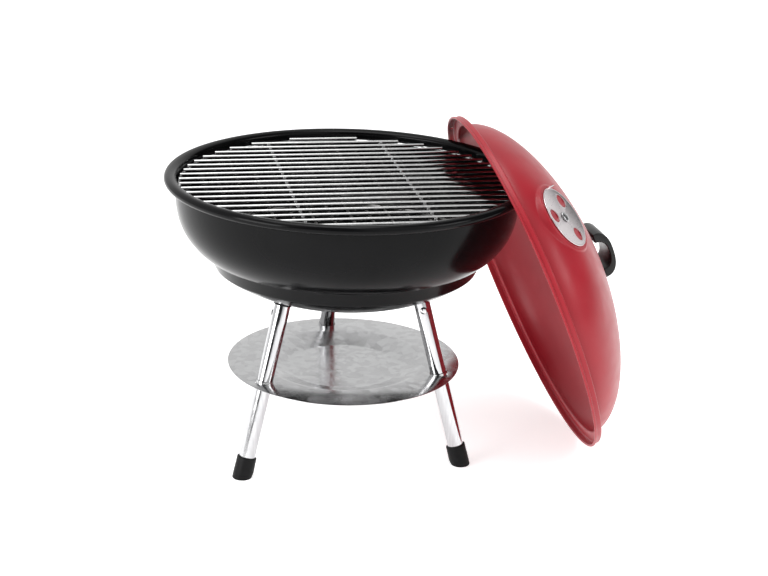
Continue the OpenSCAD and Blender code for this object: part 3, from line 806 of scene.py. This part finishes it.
# ---------------------------------------------------------------- lid
# The lid is a deep-drawn dome in red enamel with a flat brim, a short skirt that drops over the
# bowl's rim, and a curled edge. A flat seat for the damper is pressed into it off its middle.
swing = next(joint for joint in frame["joints"] if joint["name"] == "lid_swing")
lid_tilt = math.radians(90 - swing["range_deg"][1])
skirt_inside = rim_radius + 0.0008
lid_sheet = 0.001
curl = 0.0013
skirt_height = 0.008
dome_foot = skirt_inside - 0.0098
dome_height = 0.074
dome_fullness = 1.08
curl_centre = skirt_inside + curl
edge_z = curl_centre * math.cos(lid_tilt) - curl * math.sin(lid_tilt) + curl
lid_reach = (edge_z - swing["pos_m"][2]) / math.sin(lid_tilt)
in_lid = (Matrix.Translation((bowl_x + lid_reach * math.cos(lid_tilt), 0, edge_z))
          @ Matrix.Rotation(math.pi / 2 - lid_tilt, 4, "Y"))

damper_joint = next(joint for joint in frame["joints"] if joint["name"] == "lid_damper_turn")
vent_centre = in_lid.inverted() @ Vector(damper_joint["pos_m"])
vent_normal = (in_lid.inverted().to_3x3() @ Vector(damper_joint["axis"])).normalized()
outward = Vector((vent_centre.x, vent_centre.y, 0)).normalized()
vent_x = (outward - vent_normal * outward.dot(vent_normal)).normalized()
vent_y = vent_normal.cross(vent_x)
at_vent = Matrix.Translation(vent_centre) @ Matrix((vent_x, vent_y, vent_normal)).transposed().to_4x4()
seat_radius = 0.035
seat_ease = 0.0028
seat_sink = 0.0015
vent_hole_radius = 0.007
vent_hole_pitch = 0.021
vent_drill = 0.02
disc_hole_turn = 3
opening_turn = 60
hang_hole_turn = math.radians(144)
hang_hole_height = 0.0048
hang_hole_radius = 0.0018
hang_hole_drill = 0.012


def dome_point(angle, inset):
    """Point of the dome's outline at an angle from the brim to the top, in degrees."""
    rise = math.radians(angle)
    return ((dome_foot - inset) * max(0.0, math.cos(rise)) ** dome_fullness,
            skirt_height + (dome_height - inset) * math.sin(rise) ** dome_fullness)


def dome_at(radius, inset):
    """Height of the dome over the lid's edge at a radius."""
    share = min(1.0, radius / (dome_foot - inset))
    return (skirt_height + (dome_height - inset)
            * (1 - share ** (2 / dome_fullness)) ** (dome_fullness / 2))


def lid_face(inset):
    """One face of the lid's sheet from the top down to the skirt; inset 0 is the outside."""
    dome = [dome_point(90 - 90 * i / 60, inset) for i in range(61)]
    dome[0] = (0, dome[0][1])
    foot = (dome_foot - inset, skirt_height - inset)
    brim = (skirt_inside + lid_sheet - inset, skirt_height - inset)
    hem = (brim[0], 2 * curl)
    return dome[:-2] + eased(dome[-3], foot, brim, 0.0022, 5) + eased(foot, brim, hem, 0.0016, 5) + [hem]


lid_outline = lid_face(0)
lid_outline += arc((curl_centre, curl), (curl, curl), 80, -170, 16)
lid_outline += lid_face(lid_sheet)[::-1]
lid_shape = turned(lid_outline, Matrix.Identity(4), ROUND)

# The mesh is made finer round the seat, set back on the dome, then pressed flat.
from_vent = at_vent.inverted()
near = [face for face in lid_shape.faces
        if face.calc_center_median().z > skirt_height + 0.004
        and (from_vent @ face.calc_center_median()).xy.length < seat_radius + 0.008
        and abs((from_vent @ face.calc_center_median()).z) < 0.02]
near_edges = list({edge for face in near for edge in face.edges})
bmesh.ops.subdivide_edges(lid_shape, edges=near_edges, cuts=3, use_grid_fill=True)
for vertex in lid_shape.verts:
    local = from_vent @ vertex.co
    if local.xy.length > seat_radius + 0.016 or abs(local.z) > 0.02:
        continue
    if vertex.co.z < skirt_height + 0.004:
        continue
    inside = vertex.co.z < dome_at(vertex.co.xy.length, 0) - lid_sheet * 0.55
    inset = lid_sheet if inside else 0.0
    vertex.co.z = dome_at(vertex.co.xy.length, inset)
    local = from_vent @ vertex.co
    share = min(1.0, max(0.0, (seat_radius + seat_ease - local.xy.length) / seat_ease))
    press = share * share * (3 - 2 * share)
    local.z += (-seat_sink - inset - local.z) * press
    vertex.co = at_vent @ local
lid_shape.transform(in_lid)

red_enamel = make_enamel("red_enamel", (0.30, 0.012, 0.021), (0.35, 0.016, 0.026), 0.3, 0.38, 0.3)
lid = as_piece("enamelled_lid", lid_shape, red_enamel)
vent_place = in_lid @ at_vent
hang_hole = (in_lid @ Matrix.Rotation(hang_hole_turn, 4, "Z")
             @ Matrix.Translation((skirt_inside, 0, hang_hole_height)) @ Matrix.Rotation(math.pi / 2, 4, "Y"))
lid_drills = [(place, vent_hole_radius, vent_drill)
              for place in air_hole_places(vent_place, disc_hole_turn + opening_turn, vent_hole_pitch)]
lid_drills.append((hang_hole, hang_hole_radius, hang_hole_drill))
drilled(lid, lid_drills)
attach(lid, "lid")
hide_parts("lid_shell")

# ---------------------------------------------------------------- lid damper
# A stamped steel disc with a raised rim, three air holes and a tab bent up at its edge. It turns
# on a rivet through the lid.
damper_radius = 0.032
damper_sheet = 0.001
damper_gap = 0.0003
tab_turn = math.radians(-73)
tab_width = 0.009
tab_height = 0.007
on_seat = vent_place @ Matrix.Translation((0, 0, damper_gap - seat_sink))
# The disc's pale pink tint is a painted reflection of the red lid around it; the steel itself is grey.
damper_steel = make_bare_steel("damper_steel", (0.76, 0.70, 0.715), (0.82, 0.77, 0.78), 0.26, 0.34)
disc_outline = [(0, 0), (damper_radius - 0.0004, 0)]
disc_outline += arc((damper_radius - 0.0005, 0.0005), (0.0005, 0.0005), -60, 60, 6)
disc_outline += [(damper_radius - 0.0012, damper_sheet), (damper_radius - 0.0022, damper_sheet - 0.0001),
                 (damper_radius - 0.0034, damper_sheet - 0.0004), (0, damper_sheet - 0.0004)]
damper_shape = turned(disc_outline, on_seat, 128)
damper = as_piece("damper_disc", damper_shape, damper_steel)
drilled(damper, [(place, vent_hole_radius, vent_drill)
                 for place in air_hole_places(on_seat, disc_hole_turn, vent_hole_pitch)])
tab_shape = bmesh.new()
tab_place = (on_seat @ Matrix.Rotation(tab_turn, 4, "Z")
             @ Matrix.Translation((damper_radius - damper_sheet, 0, tab_height / 2)))
bmesh.ops.create_cube(tab_shape, size=1, matrix=tab_place
                      @ Matrix.Diagonal((damper_sheet, tab_width, tab_height, 1)))
bmesh.ops.bevel(tab_shape, geom=tab_shape.edges[:], offset=0.0003, segments=3, affect="EDGES")
tab_shape.from_mesh(damper.data)
tab_shape.to_mesh(damper.data)
tab_shape.free()
damper.data.shade_smooth()
damper.data.set_sharp_from_angle(angle=math.radians(35))
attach(damper, "lid_damper")
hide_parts("lid_damper")

rivet_radius = 0.0055
rivet_shank = 0.0025
rivet_outline = [(0, -lid_sheet - seat_sink - 0.0012), (rivet_radius * 0.8, -lid_sheet - seat_sink - 0.0012),
                 (rivet_radius, -lid_sheet - seat_sink), (rivet_shank, -lid_sheet - seat_sink),
                 (rivet_shank, 0.0001)]
rivet_outline += arc((0, 0.0001), (rivet_radius, 0.0016), 0, 90, 10)[:-1]
rivet_outline += [(0, 0.0017)]
rivet = as_piece("damper_rivet", turned(rivet_outline, vent_place, 48), zinc)
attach(rivet, "lid")
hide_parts("lid_damper_rivet")

# ---------------------------------------------------------------- handle
# An arched strap of black moulded plastic with rounded edges. Two steel spacers hold it off the
# dome, and two screws come up through the lid into its feet.
handle_length = 0.050
handle_rise = 0.0165
handle_width = 0.038
strap = 0.005
handle_foot = 0.010
handle_edge = 0.0016
spacer_height = 0.003
handle_base = dome_at(handle_length / 2 - handle_foot / 2, 0) + spacer_height


def make_moulded_plastic(name):
    """Satin black plastic with a fine moulded grain."""
    finish, nodes, links, shader = start_finish(name, (0.006, 0.006, 0.006), 0.0, 0.3)
    shader.inputs["Specular IOR Level"].default_value = 0.3
    clouds = noise_on(nodes, links, 50, 3)
    two_tone(nodes, links, clouds.outputs["Fac"], (0.004, 0.004, 0.004), (0.009, 0.0085, 0.0085),
             shader.inputs["Base Color"])
    spread(nodes, links, clouds.outputs["Fac"], 0.24, 0.4, shader.inputs["Roughness"])
    fine = noise_on(nodes, links, 1400, 2)
    grain(nodes, links, fine.outputs["Fac"], 0.00003, shader)
    return finish


def arch_point(angle, half, rise):
    """Point of the handle's arch at an angle in degrees, as (along, height)."""
    turn = math.radians(angle)
    return (half * math.copysign(abs(math.cos(turn)) ** 0.8, math.cos(turn)),
            rise * max(0.0, math.sin(turn)) ** 0.8)


handle_plastic = make_moulded_plastic("handle_plastic")
arch = [arch_point(180 * i / 48, handle_length / 2, handle_rise) for i in range(49)]
arch += [arch_point(180 - 180 * i / 48, handle_length / 2 - handle_foot, handle_rise - strap)
         for i in range(49)]
handle_shape = bmesh.new()
near_side = [handle_shape.verts.new((x, -handle_width / 2, handle_base + z)) for x, z in arch]
far_side = [handle_shape.verts.new((x, handle_width / 2, handle_base + z)) for x, z in arch]
handle_shape.faces.new(near_side)
handle_shape.faces.new(far_side[::-1])
for k in range(len(arch)):
    nxt = (k + 1) % len(arch)
    handle_shape.faces.new((near_side[k], far_side[k], far_side[nxt], near_side[nxt]))
bmesh.ops.recalc_face_normals(handle_shape, faces=handle_shape.faces)
handle_shape.transform(in_lid)
handle = as_piece("lid_handle", handle_shape, handle_plastic)
rounding = handle.modifiers.new("rounding", "BEVEL")
rounding.width = handle_edge
rounding.segments = 4
rounding.limit_method = "ANGLE"
rounding.angle_limit = math.radians(50)
settle(handle, 40)
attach(handle, "lid")
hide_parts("handle")

for node, finish in (("handle_spacers", zinc), ("handle_screws", bright)):
    frame["nodes"][node].data.materials.clear()
    frame["nodes"][node].data.materials.append(finish)
